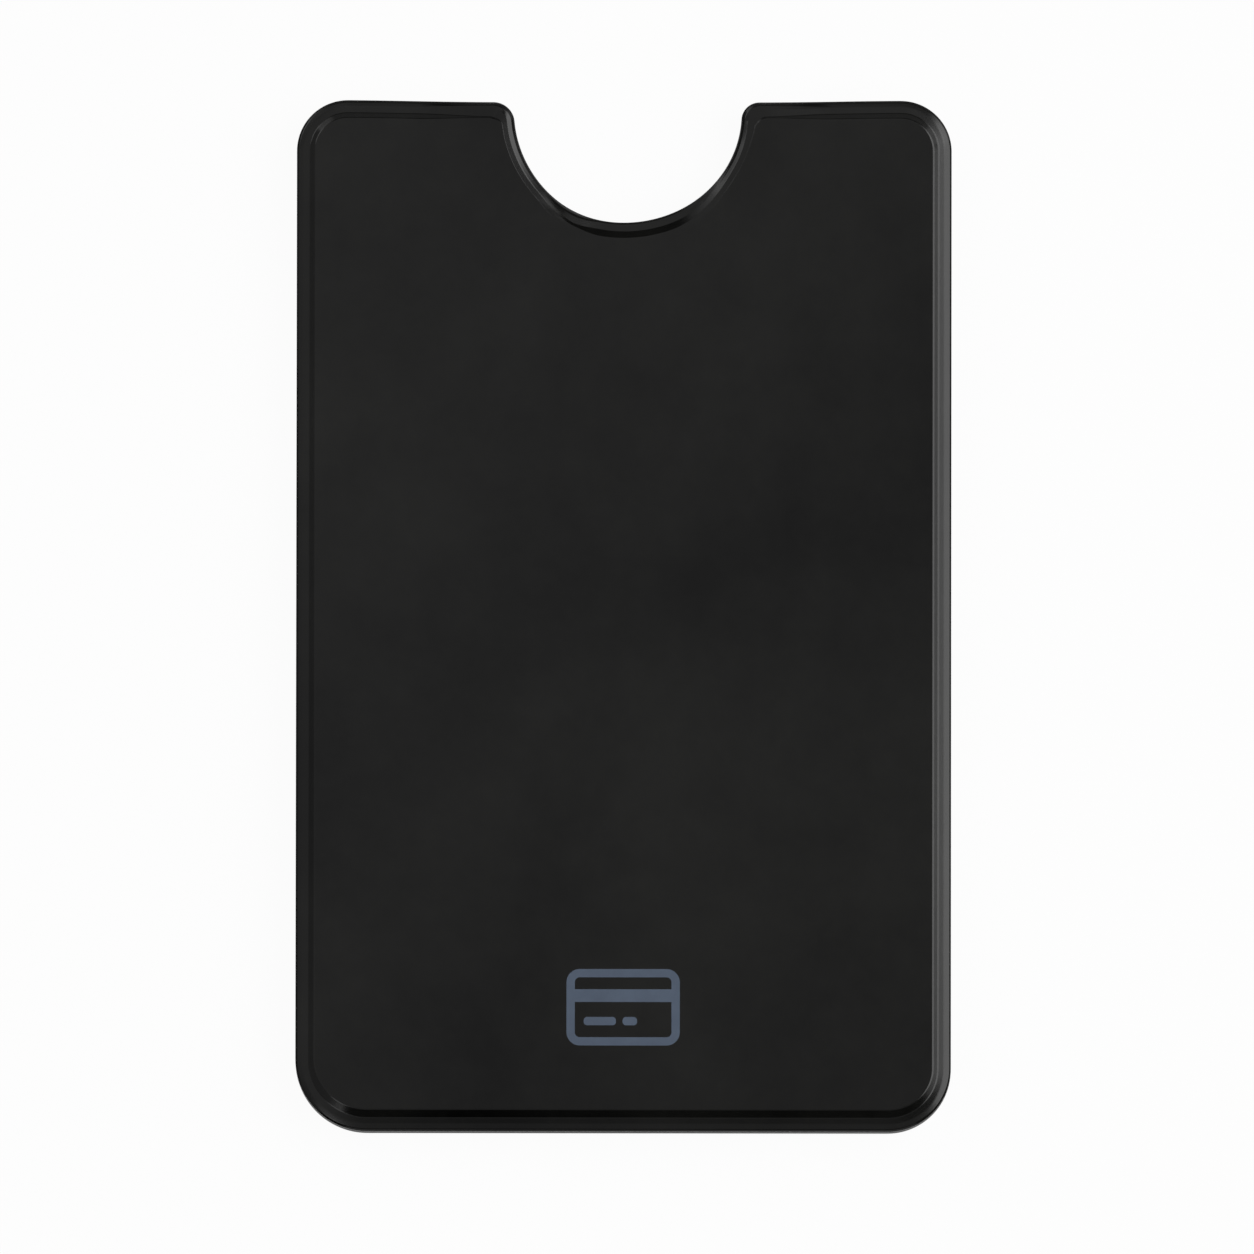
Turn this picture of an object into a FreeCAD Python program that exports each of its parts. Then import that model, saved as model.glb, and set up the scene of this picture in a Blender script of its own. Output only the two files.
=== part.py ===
"""Rigid card sleeve with blocking sheets: two welded shells around a slot for one card.

Frame: the sleeve lies on its rear panel with the front panel up. X runs across the width, Y along the
length towards the mouth, Z up. The origin is under the middle of the rear panel. Lengths are in mm.
"""

import FreeCAD, Part
import enum
import math
import os
import re

import Sketcher

doc = FreeCAD.newDocument("card_sleeve")

# Driving sizes: name, length, meaning
SIZES = [
    ("card_width", 53.98, "card of the ID-1 size, across the slot"),
    ("card_length", 85.60, "card of the ID-1 size, along the slot"),
    ("card_thickness", 0.76, "plain card"),
    ("character_relief", 0.48, "height of raised characters on an embossed card"),
    ("side_clearance", 0.36, "free space beside the card, each side"),
    ("relief_clearance", 0.26, "free space over raised characters"),
    ("grip_clearance", 0.06, "free space between the card and each grip bump"),
    ("side_wall", 2.15, "wall beside the slot"),
    ("end_wall", 2.20, "wall at the closed end, where the card stops"),
    ("mouth_cover", 5.20, "length of the covers past the end of the card"),
    ("cover_wall", 1.05, "plastic between the outside of a panel and its film"),
    ("mouth_corner", 4.50, "outline corner radius beside the mouth"),
    ("end_corner", 6.10, "outline corner radius at the closed end"),
    ("notch_radius", 10.30, "round thumb notch"),
    ("notch_drop", 0.68, "centre of the notch below the mouth edge"),
    ("notch_shoulder", 1.50, "rounding from the mouth edge into the notch"),
    ("rim_width", 1.15, "sloped rim round the outside"),
    ("step_width", 0.48, "step from the rim up to the raised panel"),
    ("notch_rim_width", 0.72, "sloped rim along the notch"),
    ("notch_step_width", 0.52, "step along the notch"),
    ("rim_shoulder", 1.30, "plan radius of the rim's inner edge at the shoulders"),
    ("panel_shoulder", 0.90, "plan radius of the raised panel at the shoulders"),
    ("rim_drop", 0.18, "fall of the rim from the step to the outer edge"),
    ("panel_raise", 0.35, "height of the raised panel above the rim"),
    ("edge_round", 0.35, "rounding of the outer edge"),
    ("panel_round", 0.35, "rounding of the raised panel's edge"),
    ("foot_round", 0.35, "hollow rounding at the foot of the step"),
    ("seam_land", 0.14, "height of the seam's shadow groove in each cover"),
    ("seam_depth", 0.16, "depth of the seam's shadow groove"),
    ("tongue_width", 0.60, "welding tongue of the rear cover"),
    ("tongue_height", 0.45, "welding tongue of the rear cover"),
    ("tongue_clearance", 0.05, "space round the tongue in its groove"),
    ("tongue_setback", 4.00, "end of the tongue behind the mouth edge"),
    ("slot_corner", 3.00, "corner radius of the slot at the closed end"),
    ("flare_length", 0.80, "lead-in at the mouth, along the slot"),
    ("flare_height", 0.16, "lead-in at the mouth, into each cover"),
    ("grip_length", 8.00, "shallow bump on each side of the slot that holds the card"),
    ("grip_setback", 13.00, "middle of the bumps behind the mouth edge"),
    ("sheet_thickness", 0.15, "blocking sheet"),
    ("sheet_margin", 0.60, "sheet edge from the sides and the end of the slot"),
    ("sheet_mouth_setback", 2.00, "sheet edge behind the mouth edge"),
    ("sheet_notch_setback", 2.00, "sheet edge round the notch"),
    ("sheet_corner", 1.00, "corner radius of the sheet beside the mouth and the notch"),
    ("recess_clearance", 0.10, "space round the sheet in its recess"),
    ("film_thickness", 0.05, "adhesive film under the sheet"),
    ("film_margin", 0.40, "film edge inside the sheet's edge"),
]

sheet = doc.addObject("Spreadsheet::Sheet", "sizes")
for row, (alias, size, meaning) in enumerate(SIZES, start=1):
    sheet.set(f"A{row}", alias)
    sheet.set(f"B{row}", str(size))
    sheet.set(f"C{row}", meaning)
    sheet.setAlias(f"B{row}", alias)
doc.recompute()

# Sizes that follow from the driving ones, as formulas on their names
HALF_SLOT = "(card_width / 2 + side_clearance)"
HALF_WIDTH = f"({HALF_SLOT} + side_wall)"
HALF_LENGTH = "((end_wall + card_length + mouth_cover) / 2)"
PAST_MOUTH = f"({HALF_LENGTH} + mouth_cover)"
HALF_GAP = "((card_thickness + character_relief + relief_clearance) / 2)"
GRIP_HEIGHT = "(side_clearance - grip_clearance)"
GRIP_RADIUS = f"((grip_length / 2)^2 / (2 * {GRIP_HEIGHT}) + {GRIP_HEIGHT} / 2)"
SHEET_DEPTH = f"({HALF_GAP} + sheet_thickness)"
RECESS_DEPTH = f"({SHEET_DEPTH} + film_thickness)"
COVER_HEIGHT = f"({RECESS_DEPTH} + cover_wall)"
RIM_FOOT_HEIGHT = f"({COVER_HEIGHT} - panel_raise)"
EDGE_HEIGHT = f"({RIM_FOOT_HEIGHT} - rim_drop)"
NOTCH_CENTRE = f"({HALF_LENGTH} - notch_drop)"
SLOT_END = f"({HALF_LENGTH} - end_wall)"
HALF_SHEET = f"({HALF_SLOT} - sheet_margin)"
SHEET_END = f"({SLOT_END} - sheet_margin)"
SHEET_MOUTH = f"({HALF_LENGTH} - sheet_mouth_setback)"
SHEET_NOTCH = "(notch_radius + sheet_notch_setback)"

# Points of sketch geometry, counted from one, and the sketch's own origin
START, END, CENTRE = enum.IntEnum("Point", "start end centre")
ORIGIN = (-1, START)
QUARTER = math.pi / 2
LEVEL_TOLERANCE = 1e-5


def value(formula):
    """Number that a formula on the driving sizes gives."""
    return float(sheet.evalExpression(formula))


def bound(formula):
    """The same formula with each name written as a cell of the sheet."""
    return re.sub(r"[a-z_]+", lambda name: f"sizes.{name.group()}", formula)


def add_sketch(body, name, height="0", plane="XY_Plane"):
    """Sketch on one of the body's own origin planes, lifted to a height."""
    support = next(item for item in body.Origin.OriginFeatures if item.Role == plane)
    sketch = body.newObject("Sketcher::SketchObject", f"{body.Name}_{name}")
    sketch.AttachmentSupport = [(support, "")]
    sketch.MapMode = "FlatFace"
    sketch.setExpression(".AttachmentOffset.Base.z", bound(height))
    return sketch


def line(sketch, start, end):
    return sketch.addGeometry(Part.LineSegment(FreeCAD.Vector(*start), FreeCAD.Vector(*end)))


def arc(sketch, centre, radius, start_angle, end_angle):
    """Arc that runs anticlockwise between two angles."""
    circle = Part.Circle(FreeCAD.Vector(*centre), FreeCAD.Vector(0, 0, 1), radius)
    return sketch.addGeometry(Part.ArcOfCircle(circle, start_angle, end_angle))


def relate(sketch, kind, *items):
    sketch.addConstraint(Sketcher.Constraint(kind, *items))


def dimension(sketch, kind, items, formula):
    """Dimension that follows a formula on the driving sizes."""
    index = sketch.addConstraint(Sketcher.Constraint(kind, *items, value(formula)))
    sketch.setExpression(f"Constraints[{index}]", bound(formula))


def locate(sketch, axis, side, point, formula):
    """Distance of a point from the origin along an axis, on its positive or negative side."""
    ends = ORIGIN + point if side > 0 else point + ORIGIN
    dimension(sketch, f"Distance{axis}", ends, formula)


def notched_outline(body, name, height, outline):
    """Closed outline with rounded corners and the thumb notch with its rounded shoulders.

    outline gives formulas for the half width, the reach to the closed end and to the mouth, the two
    corner radii, the notch radius and the shoulder radius.
    """
    half_width, end, mouth, end_radius, mouth_radius, notch, shoulder = map(value, outline)
    centre = value(NOTCH_CENTRE)
    shoulder_y = mouth - shoulder
    shoulder_x = math.sqrt((notch + shoulder) ** 2 - (shoulder_y - centre) ** 2)
    lean = math.atan2(shoulder_y - centre, shoulder_x)
    left, right = -half_width, half_width
    mouth_x, mouth_y = half_width - mouth_radius, mouth - mouth_radius
    end_x, end_y = half_width - end_radius, end_radius - end

    sketch = add_sketch(body, name, height)
    right_side = line(sketch, (right, end_y), (right, mouth_y))
    right_mouth_corner = arc(sketch, (mouth_x, mouth_y), mouth_radius, 0, QUARTER)
    right_mouth = line(sketch, (mouth_x, mouth), (shoulder_x, mouth))
    right_shoulder = arc(sketch, (shoulder_x, shoulder_y), shoulder, QUARTER, math.pi + lean)
    notch_arc = arc(sketch, (0, centre), notch, math.pi - lean, 2 * math.pi + lean)
    left_shoulder = arc(sketch, (-shoulder_x, shoulder_y), shoulder, -lean, QUARTER)
    left_mouth = line(sketch, (-shoulder_x, mouth), (-mouth_x, mouth))
    left_mouth_corner = arc(sketch, (-mouth_x, mouth_y), mouth_radius, QUARTER, math.pi)
    left_side = line(sketch, (left, mouth_y), (left, end_y))
    left_end_corner = arc(sketch, (-end_x, end_y), end_radius, math.pi, math.pi + QUARTER)
    end_edge = line(sketch, (-end_x, -end), (end_x, -end))
    right_end_corner = arc(sketch, (end_x, end_y), end_radius, math.pi + QUARTER, 2 * math.pi)

    joins = [
        (right_side, END, right_mouth_corner, START),
        (right_mouth_corner, END, right_mouth, START),
        (right_mouth, END, right_shoulder, START),
        (right_shoulder, END, notch_arc, END),
        (notch_arc, START, left_shoulder, START),
        (left_shoulder, END, left_mouth, START),
        (left_mouth, END, left_mouth_corner, START),
        (left_mouth_corner, END, left_side, START),
        (left_side, END, left_end_corner, START),
        (left_end_corner, END, end_edge, START),
        (end_edge, END, right_end_corner, START),
        (right_end_corner, END, right_side, START),
    ]
    for join in joins:
        relate(sketch, "Tangent", *join)
    for upright in (right_side, left_side):
        relate(sketch, "Vertical", upright)
    for level in (right_mouth, left_mouth, end_edge):
        relate(sketch, "Horizontal", level)
    relate(sketch, "Vertical", *ORIGIN, notch_arc, CENTRE)

    half_width, end, mouth, end_radius, mouth_radius, notch, shoulder = outline
    locate(sketch, "X", 1, (right_side, START), half_width)
    locate(sketch, "X", -1, (left_side, START), half_width)
    locate(sketch, "Y", -1, (end_edge, START), end)
    locate(sketch, "Y", 1, (right_mouth, START), mouth)
    locate(sketch, "Y", 1, (left_mouth, START), mouth)
    locate(sketch, "Y", 1, (notch_arc, CENTRE), NOTCH_CENTRE)
    dimension(sketch, "Radius", (notch_arc,), notch)
    for corner in (right_end_corner, left_end_corner):
        dimension(sketch, "Radius", (corner,), end_radius)
    for corner in (right_mouth_corner, left_mouth_corner):
        dimension(sketch, "Radius", (corner,), mouth_radius)
    for corner in (right_shoulder, left_shoulder):
        dimension(sketch, "Radius", (corner,), shoulder)
    return sketch


def body_outline(inset, notch_inset, shoulder):
    """The sleeve's outline moved inwards, with its own shoulder radius."""
    return (
        f"{HALF_WIDTH} - {inset}",
        f"{HALF_LENGTH} - {inset}",
        f"{HALF_LENGTH} - {inset}",
        f"end_corner - {inset}",
        f"mouth_corner - {inset}",
        f"notch_radius + {notch_inset}",
        shoulder,
    )


def sheet_outline(inset):
    """The blocking sheet's outline, moved inwards, or outwards where the inset is negative."""
    corner = f"sheet_corner - {inset}"
    return (
        f"{HALF_SHEET} - {inset}",
        f"{SHEET_END} - {inset}",
        f"{SHEET_MOUTH} - {inset}",
        f"slot_corner - sheet_margin - {inset}",
        corner,
        f"{SHEET_NOTCH} + {inset}",
        corner,
    )


def card_slot(body, name):
    """Straight channel with two rounded corners at its closed end, open past the mouth."""
    wide, low, high = value(HALF_SLOT), -value(SLOT_END), value(PAST_MOUTH)
    radius = value("slot_corner")
    sketch = add_sketch(body, name)
    right = line(sketch, (wide, low + radius), (wide, high))
    top = line(sketch, (wide, high), (-wide, high))
    left = line(sketch, (-wide, high), (-wide, low + radius))
    left_corner = arc(sketch, (radius - wide, low + radius), radius, math.pi, math.pi + QUARTER)
    bottom = line(sketch, (radius - wide, low), (wide - radius, low))
    right_corner = arc(sketch, (wide - radius, low + radius), radius, -QUARTER, 0)
    relate(sketch, "Coincident", right, END, top, START)
    relate(sketch, "Coincident", top, END, left, START)
    relate(sketch, "Tangent", left, END, left_corner, START)
    relate(sketch, "Tangent", left_corner, END, bottom, START)
    relate(sketch, "Tangent", bottom, END, right_corner, START)
    relate(sketch, "Tangent", right_corner, END, right, START)
    for upright in (right, left):
        relate(sketch, "Vertical", upright)
    for level in (top, bottom):
        relate(sketch, "Horizontal", level)
    locate(sketch, "X", 1, (right, END), HALF_SLOT)
    locate(sketch, "X", -1, (left, START), HALF_SLOT)
    locate(sketch, "Y", 1, (top, START), PAST_MOUTH)
    locate(sketch, "Y", -1, (bottom, START), SLOT_END)
    for turn in (left_corner, right_corner):
        dimension(sketch, "Radius", (turn,), "slot_corner")
    return sketch


def seam_track(body, name, spread):
    """U-shaped track in the middle of the walls, round three sides; spread widens it all round."""
    half_track = f"(tongue_width / 2 + {spread})"
    middle_x = f"({HALF_WIDTH} - side_wall / 2)"
    middle_end = f"({HALF_LENGTH} - end_wall / 2)"
    middle_corner = "(end_corner - side_wall / 2)"
    reach = f"({HALF_LENGTH} - tongue_setback + {spread})"
    sketch = add_sketch(body, name)
    rows = []
    for sign in ("+", "-"):
        wide = f"{middle_x} {sign} {half_track}"
        deep = f"{middle_end} {sign} {half_track}"
        corner = f"{middle_corner} {sign} {half_track}"
        x, y, radius, high = value(wide), -value(deep), value(corner), value(reach)
        left = line(sketch, (-x, high), (-x, y + radius))
        left_corner = arc(sketch, (radius - x, y + radius), radius, math.pi, math.pi + QUARTER)
        bottom = line(sketch, (radius - x, y), (x - radius, y))
        right_corner = arc(sketch, (x - radius, y + radius), radius, -QUARTER, 0)
        right = line(sketch, (x, y + radius), (x, high))
        relate(sketch, "Tangent", left, END, left_corner, START)
        relate(sketch, "Tangent", left_corner, END, bottom, START)
        relate(sketch, "Tangent", bottom, END, right_corner, START)
        relate(sketch, "Tangent", right_corner, END, right, START)
        for upright in (left, right):
            relate(sketch, "Vertical", upright)
        relate(sketch, "Horizontal", bottom)
        locate(sketch, "X", -1, (left, START), wide)
        locate(sketch, "X", 1, (right, END), wide)
        locate(sketch, "Y", -1, (bottom, START), deep)
        for turn in (left_corner, right_corner):
            dimension(sketch, "Radius", (turn,), corner)
        rows.append((left, right, x, high))
    (outer_left, outer_right, outer_x, high), (inner_left, inner_right, inner_x, _) = rows
    left_cap = line(sketch, (-outer_x, high), (-inner_x, high))
    right_cap = line(sketch, (inner_x, high), (outer_x, high))
    relate(sketch, "Coincident", outer_left, START, left_cap, START)
    relate(sketch, "Coincident", left_cap, END, inner_left, START)
    relate(sketch, "Coincident", inner_right, END, right_cap, START)
    relate(sketch, "Coincident", right_cap, END, outer_right, END)
    for cap in (left_cap, right_cap):
        relate(sketch, "Horizontal", cap)
        locate(sketch, "Y", 1, (cap, START), reach)
    return sketch


def mouth_flare(body, name):
    """Side profile of the lead-in: the roof of the slot rises towards the mouth edge and past it."""
    corners = [
        (f"{HALF_LENGTH} - flare_length", HALF_GAP),
        (PAST_MOUTH, f"{HALF_GAP} + flare_height * (1 + mouth_cover / flare_length)"),
        (PAST_MOUTH, HALF_GAP),
    ]
    sketch = add_sketch(body, name, plane="YZ_Plane")
    points = [(value(along), value(up)) for along, up in corners]
    edges = [line(sketch, points[i - 1], points[i]) for i in range(len(points))]
    for i, edge in enumerate(edges):
        relate(sketch, "Coincident", edges[i - 1], END, edge, START)
    for edge, (along, up) in zip(edges, corners):
        locate(sketch, "X", 1, (edge, END), along)
        locate(sketch, "Y", 1, (edge, END), up)
    return sketch


def grip_bump(body, name, side):
    """Shallow arc on one side of the slot: a chord on the wall and a bow that reaches towards the card."""
    reach, radius = value("grip_length / 2"), value(GRIP_RADIUS)
    middle_y = f"({HALF_LENGTH} - grip_setback)"
    centre_x = f"({HALF_SLOT} - {GRIP_HEIGHT} + {GRIP_RADIUS})"
    wall, y, spread = side * value(HALF_SLOT), value(middle_y), math.asin(reach / radius)
    facing = math.pi if side > 0 else 0
    sketch = add_sketch(body, name)
    bow = arc(sketch, (side * value(centre_x), y), radius, facing - spread, facing + spread)
    chord = line(sketch, (wall, y - side * reach), (wall, y + side * reach))
    relate(sketch, "Coincident", bow, END, chord, START)
    relate(sketch, "Coincident", chord, END, bow, START)
    relate(sketch, "Vertical", chord)
    dimension(sketch, "Radius", (bow,), GRIP_RADIUS)
    locate(sketch, "X", side, (chord, START), HALF_SLOT)
    locate(sketch, "X", side, (bow, CENTRE), centre_x)
    locate(sketch, "Y", 1, (bow, CENTRE), middle_y)
    return sketch


def pad(body, sketch, height, reversed_way=False):
    feature = body.newObject("PartDesign::Pad", f"{sketch.Name}_pad")
    feature.Profile = sketch
    feature.setExpression("Length", bound(height))
    feature.Reversed = reversed_way
    doc.recompute()
    return feature


def pocket(body, sketch, depth, side_type="One side"):
    """Cut upwards from the seam plane, or to both sides of an upright sketch; it has to remove something."""
    before = body.Shape.Volume
    feature = body.newObject("PartDesign::Pocket", f"{sketch.Name}_cut")
    feature.Profile = sketch
    feature.SideType = side_type
    feature.setExpression("Length", bound(depth))
    feature.Reversed = True
    doc.recompute()
    if not body.Shape.Volume < before:
        raise RuntimeError(f"{feature.Name} cuts nothing")
    return feature


def loft(body, lower, upper):
    """Straight-sided band from one outline to the next."""
    feature = body.newObject("PartDesign::AdditiveLoft", f"{upper.Name}_band")
    feature.Profile = lower
    feature.Sections = [upper]
    feature.Ruled = True
    doc.recompute()
    return feature


def round_level_edges(body, height, radius):
    """Round the closed ring of edges that lies level at one height."""
    base = body.Tip
    level = value(height)
    ring = []
    for number, edge in enumerate(base.Shape.Edges, start=1):
        box = edge.BoundBox
        if max(abs(box.ZMin - level), abs(box.ZMax - level)) < LEVEL_TOLERANCE:
            ring.append(f"Edge{number}")
    feature = body.newObject("PartDesign::Fillet", f"{body.Name}_{radius}")
    feature.Base = (base, ring)
    feature.setExpression("Radius", bound(radius))
    doc.recompute()
    return feature


def add_body(name, height, turned=False):
    """Body whose own seam plane is placed at a height; a turned one faces down."""
    body = doc.addObject("PartDesign::Body", name)
    body.Label = name
    if turned:
        body.Placement.Rotation = FreeCAD.Rotation(FreeCAD.Vector(0, 1, 0), 180)
    body.setExpression(".Placement.Base.z", bound(height))
    return body


def moulded_shell(name, turned):
    """Shell of one cover, seam plane at zero and outside up: raised panel, rim, slot and sheet recess."""
    body = add_body(name, COVER_HEIGHT, turned)
    outer = body_outline("0", "0", "notch_shoulder")
    seam = body_outline("seam_depth", "seam_depth", "notch_shoulder")
    rim_foot = body_outline("rim_width", "notch_rim_width", "rim_shoulder")
    panel_notch = "(notch_rim_width + notch_step_width)"
    panel = body_outline("(rim_width + step_width)", panel_notch, "panel_shoulder")

    pad(body, notched_outline(body, "seam", "0", seam), "seam_land")
    pad(body, notched_outline(body, "wall", "seam_land", outer), f"{EDGE_HEIGHT} - seam_land")
    edge_sketch = notched_outline(body, "edge", EDGE_HEIGHT, outer)
    foot_sketch = notched_outline(body, "rim", RIM_FOOT_HEIGHT, rim_foot)
    loft(body, edge_sketch, foot_sketch)
    step_sketch = notched_outline(body, "step", RIM_FOOT_HEIGHT, rim_foot)
    panel_sketch = notched_outline(body, "panel", COVER_HEIGHT, panel)
    loft(body, step_sketch, panel_sketch)
    round_level_edges(body, EDGE_HEIGHT, "edge_round")
    round_level_edges(body, RIM_FOOT_HEIGHT, "foot_round")
    round_level_edges(body, COVER_HEIGHT, "panel_round")

    pocket(body, card_slot(body, "slot"), HALF_GAP)
    pocket(body, mouth_flare(body, "flare"), f"2 * {HALF_SLOT}", "Symmetric")
    recess = notched_outline(body, "recess", "0", sheet_outline("(-recess_clearance)"))
    pocket(body, recess, RECESS_DEPTH)
    for side_name, side in (("right", 1), ("left", -1)):
        pad(body, grip_bump(body, f"{side_name}_bump", side), HALF_GAP)
    return body


def front_cover():
    body = moulded_shell("front_cover", turned=False)
    pocket(body, seam_track(body, "groove", "tongue_clearance"), "tongue_height + tongue_clearance")
    return body


def rear_cover():
    body = moulded_shell("rear_cover", turned=True)
    pad(body, seam_track(body, "tongue", "0"), "tongue_height", reversed_way=True)
    return body


def flat_sheet(name, turned, depth, thickness, inset):
    """Sheet of one thickness, its lower face at a depth from the seam plane."""
    body = add_body(name, COVER_HEIGHT, turned)
    pad(body, notched_outline(body, "outline", depth, sheet_outline(inset)), thickness)
    return body


def write_parts(parts):
    """Write each sub-part after every object has been checked."""
    doc.recompute()
    failed = [item.Name for item in doc.Objects if {"Invalid", "Error"} & set(item.State)]
    failed += [body.Label for body in parts if body.Shape.isNull() or not body.Shape.isValid()]
    if failed:
        raise RuntimeError(f"failed objects: {failed}")
    os.makedirs("parts", exist_ok=True)
    for body in parts:
        body.Shape.exportStep(f"parts/{body.Label}.step")
        box = body.Shape.BoundBox
        corners = (box.XMin, box.XMax, box.YMin, box.YMax, box.ZMin, box.ZMax)
        print(body.Label, f"{body.Shape.Volume:.1f} mm3", [round(corner, 3) for corner in corners])


pieces = [front_cover(), rear_cover()]
for face, turned in (("front", False), ("rear", True)):
    pieces.append(flat_sheet(f"{face}_shield", turned, HALF_GAP, "sheet_thickness", "0"))
    pieces.append(flat_sheet(f"{face}_shield_film", turned, SHEET_DEPTH, "film_thickness", "film_margin"))
write_parts(pieces)
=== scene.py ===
# %% [markdown]
# # A rigid card sleeve in black plastic
#
# The real object is two thin moulded shells, welded round three sides, with a slot between them for one payment
# card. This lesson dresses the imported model: it builds smooth shells over the solids, prints a small mark, gives
# every surface a material, and lights it as a plain studio picture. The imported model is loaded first, because
# every later piece is placed in its frame: X across, Y towards the open mouth, Z up, in metres.

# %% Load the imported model
import math

import bmesh
import bpy
import numpy as np
from mathutils import Matrix, Vector


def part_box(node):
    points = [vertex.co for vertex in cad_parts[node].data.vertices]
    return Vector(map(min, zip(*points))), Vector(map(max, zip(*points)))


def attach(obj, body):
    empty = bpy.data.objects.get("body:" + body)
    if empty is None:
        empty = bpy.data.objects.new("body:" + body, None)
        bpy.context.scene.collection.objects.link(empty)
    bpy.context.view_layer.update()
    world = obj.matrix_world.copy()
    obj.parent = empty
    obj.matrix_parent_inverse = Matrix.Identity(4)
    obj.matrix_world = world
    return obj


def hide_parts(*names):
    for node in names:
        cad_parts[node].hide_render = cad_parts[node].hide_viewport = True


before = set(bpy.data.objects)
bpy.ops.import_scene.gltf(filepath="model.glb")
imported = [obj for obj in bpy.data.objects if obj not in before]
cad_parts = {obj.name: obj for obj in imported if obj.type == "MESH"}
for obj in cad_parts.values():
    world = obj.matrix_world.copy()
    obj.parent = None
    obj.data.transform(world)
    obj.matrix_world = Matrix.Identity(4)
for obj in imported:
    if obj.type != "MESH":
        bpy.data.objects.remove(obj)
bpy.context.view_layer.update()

MM = 0.001

# %% [markdown]
# ## The outline
#
# Seen from above, every level of the sleeve has the same kind of outline: a rectangle with round corners and a
# round thumb notch, whose two shoulders roll from the mouth edge into the notch. It could be cut with Booleans
# from primitives, but then no two levels would have matching points. Here it is drawn as twelve runs of lines and
# arcs that always have the same number of points, so that one level can be joined to the next by plain quads.
#
# A moulding is never quite even. On this one the notch sits a third of a millimetre off the middle, and the corners
# of the closed end and the shoulders differ from right to left, so these have one size for each side. A short sine
# series, added to the radius of the notch, makes it slightly egg-shaped.

# %% Sizes of the outline, in mm
HALF_WIDTH = 29.5
HALF_LENGTH = 46.56
END_CORNERS = np.array([5.7, 6.5])
MOUTH_CORNER = 4.6
NOTCH_RADIUS = 10.26
NOTCH_SHIFT = 0.32
NOTCH_CENTRE = 45.78
NOTCH_BULGES = np.array([0.075, -0.072, 0.039, 0.042, -0.024])
QUARTER = math.pi / 2
print("outline in mm:", 2 * HALF_WIDTH, "by", 2 * HALF_LENGTH, "with a notch", 2 * NOTCH_RADIUS, "wide")


# %% Lines and arcs as points
def line_points(start, end, steps):
    """Evenly spaced points from start, with the end left to the next run."""
    shares = np.linspace(0, 1, steps, endpoint=False)[:, None]
    return np.array(start) + shares * (np.array(end) - np.array(start))


def arc_points(centre, radius, start, end, steps):
    """Points of an arc between two angles, with the end left to the next run; radius may be a column."""
    angles = np.linspace(start, end, steps, endpoint=False)
    return np.array(centre) + radius * np.column_stack([np.cos(angles), np.sin(angles)])


print("quarter turn in three steps:", arc_points((0, 0), 1, 0, QUARTER, 3).round(2).tolist())

# %% The notched outline
SIDE_STEPS, END_STEPS, MOUTH_STEPS = 32, 24, 40
CORNER_STEPS, SHOULDER_STEPS, NOTCH_STEPS = 28, 22, 96


def notched_outline(half_width, end, mouth, end_radii, mouth_radius, notch, shoulders, shift=0.0, bulges=()):
    """Anticlockwise points of a notched rectangle, from the lower end of its right side.

    Radii in pairs are right and left. A shift moves the notch sideways, and bulges are the strengths of the sine
    series that is added to its radius."""
    shoulders = np.array(shoulders)
    drops = mouth - shoulders - NOTCH_CENTRE
    reaches = np.sqrt((notch + shoulders) ** 2 - drops ** 2)
    right_lean, left_lean = np.arctan2(drops, reaches)
    right_x, left_x = shift + reaches[0], shift - reaches[1]
    right_y, left_y = mouth - shoulders
    mouth_x, mouth_y = half_width - mouth_radius, mouth - mouth_radius
    right, left = end_radii
    along = np.linspace(0, math.pi, NOTCH_STEPS, endpoint=False)[:, None]
    notch_radii = notch + sum(bulge * np.sin(waves * along) for waves, bulge in enumerate(bulges, 1))
    return np.vstack([
        line_points((half_width, right - end), (half_width, mouth_y), SIDE_STEPS),
        arc_points((mouth_x, mouth_y), mouth_radius, 0, QUARTER, CORNER_STEPS),
        line_points((mouth_x, mouth), (right_x, mouth), MOUTH_STEPS),
        arc_points((right_x, right_y), shoulders[0], QUARTER, math.pi + right_lean, SHOULDER_STEPS),
        arc_points((shift, NOTCH_CENTRE), notch_radii, 2 * math.pi + right_lean, math.pi - left_lean, NOTCH_STEPS),
        arc_points((left_x, left_y), shoulders[1], -left_lean, QUARTER, SHOULDER_STEPS),
        line_points((left_x, mouth), (-mouth_x, mouth), MOUTH_STEPS),
        arc_points((-mouth_x, mouth_y), mouth_radius, QUARTER, math.pi, CORNER_STEPS),
        line_points((-half_width, mouth_y), (-half_width, left - end), SIDE_STEPS),
        arc_points((left - half_width, left - end), left, math.pi, math.pi + QUARTER, CORNER_STEPS),
        line_points((left - half_width, -end), (half_width - right, -end), END_STEPS),
        arc_points((half_width - right, right - end), right, math.pi + QUARTER, 2 * math.pi, CORNER_STEPS),
    ])


# %% [markdown]
# ## Where the edge changes
#
# The edge has one shape along the sides and the mouth, and others elsewhere. Beside the notch its step shrinks to a
# fine line, down the flanks of the notch it is a narrow slope close to the edge, at the bottom it is a broad step,
# and along the closed end a wider one. At the lower left of the notch the broad step tapers off and then merges with
# the flank. Strips with one shape each would leave seams where they meet. So each point of the outline gets shares,
# which run smoothly from 0 to 1 from one shape to the next.

# %% Smooth shares
def smoothstep(value, low, high):
    """0 up to low, 1 from high, and a soft rise between them."""
    share = np.clip((value - low) / (high - low), 0, 1)
    return share * share * (3 - 2 * share)


def ramp(steps, low=0.0, high=1.0):
    """Shares along a run of points, rising between two places of the run."""
    return smoothstep(np.linspace(0, 1, steps, endpoint=False), low, high)


print("ramp of five steps:", ramp(5).round(2).tolist())

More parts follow.
